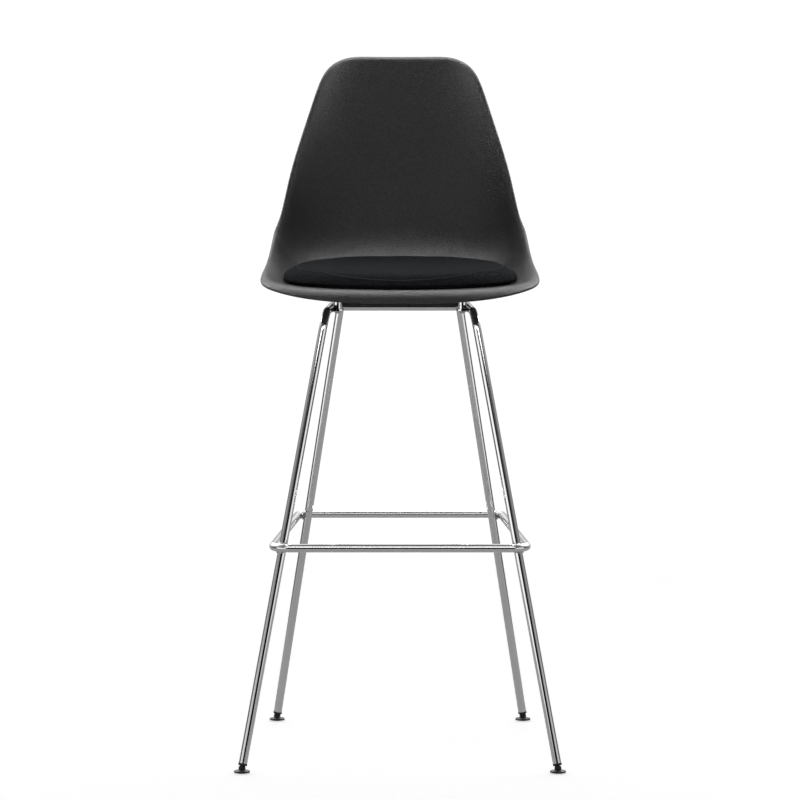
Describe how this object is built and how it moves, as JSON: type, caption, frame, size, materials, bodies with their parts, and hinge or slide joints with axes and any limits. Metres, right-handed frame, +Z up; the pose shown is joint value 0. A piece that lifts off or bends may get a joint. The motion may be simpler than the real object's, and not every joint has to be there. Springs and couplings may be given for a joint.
{
  "type": "bar stool",
  "caption": "Bar stool with a moulded plastic bucket seat, a loose round pad, splayed chromed tube legs, a tubular ring footrest and tilting feet.",
  "frame": {"origin": "on the floor, in the middle of the four feet", "axes": "+Z up, +Y towards the back, +X to the right of someone who faces the stool"},
  "size_m": [0.549, 0.539, 1.165],
  "materials": {
    "shell": "fine grain, matte",
    "insert": "plain",
    "pad": "woven",
    "board": "plain",
    "chrome": "polished",
    "fixing": "zinc plated",
    "isolator": "matte",
    "glide": "satin",
    "sole": "matte"
  },
  "bodies": {
    "stool": {"seat_shell": "shell", "shell_inserts": "insert", "pad_cushion": "pad", "pad_board": "board", "pad_screws": "fixing", "side_frame_left": "chrome", "side_frame_right": "chrome", "crossbar": "chrome", "crossbar_welds": "chrome", "footrest_ring": "chrome", "footrest_welds": "chrome", "tab_welds": "chrome", "spacers": "chrome", "isolators": "isolator", "base_washers": "fixing", "base_screws": "fixing", "tab_front_left": "chrome", "tab_front_right": "chrome", "tab_rear_left": "chrome", "tab_rear_right": "chrome", "leg_plug_front_left": "glide", "leg_plug_front_right": "glide", "leg_plug_rear_left": "glide", "leg_plug_rear_right": "glide"},
    "foot_front_left": {"foot_front_left": "glide", "sole_front_left": "sole"},
    "foot_front_right": {"foot_front_right": "glide", "sole_front_right": "sole"},
    "foot_rear_left": {"foot_rear_left": "glide", "sole_rear_left": "sole"},
    "foot_rear_right": {"foot_rear_right": "glide", "sole_rear_right": "sole"}
  },
  "joints": [
    {"name": "foot_tilt_front_left", "type": "hinge", "parent": "stool", "child": "foot_front_left", "pos_m": [-0.261, -0.256, 0.008], "axis": [-0.5745, 0.8185, 0], "range_deg": [-6, 26]},
    {"name": "foot_tilt_front_right", "type": "hinge", "parent": "stool", "child": "foot_front_right", "pos_m": [0.261, -0.256, 0.008], "axis": [-0.5745, -0.8185, 0], "range_deg": [-6, 26]},
    {"name": "foot_tilt_rear_left", "type": "hinge", "parent": "stool", "child": "foot_rear_left", "pos_m": [-0.216, 0.256, 0.008], "axis": [0.6421, 0.7666, 0], "range_deg": [-6, 26]},
    {"name": "foot_tilt_rear_right", "type": "hinge", "parent": "stool", "child": "foot_rear_right", "pos_m": [0.216, 0.256, 0.008], "axis": [0.6421, -0.7666, 0], "range_deg": [-6, 26]}
  ]
}
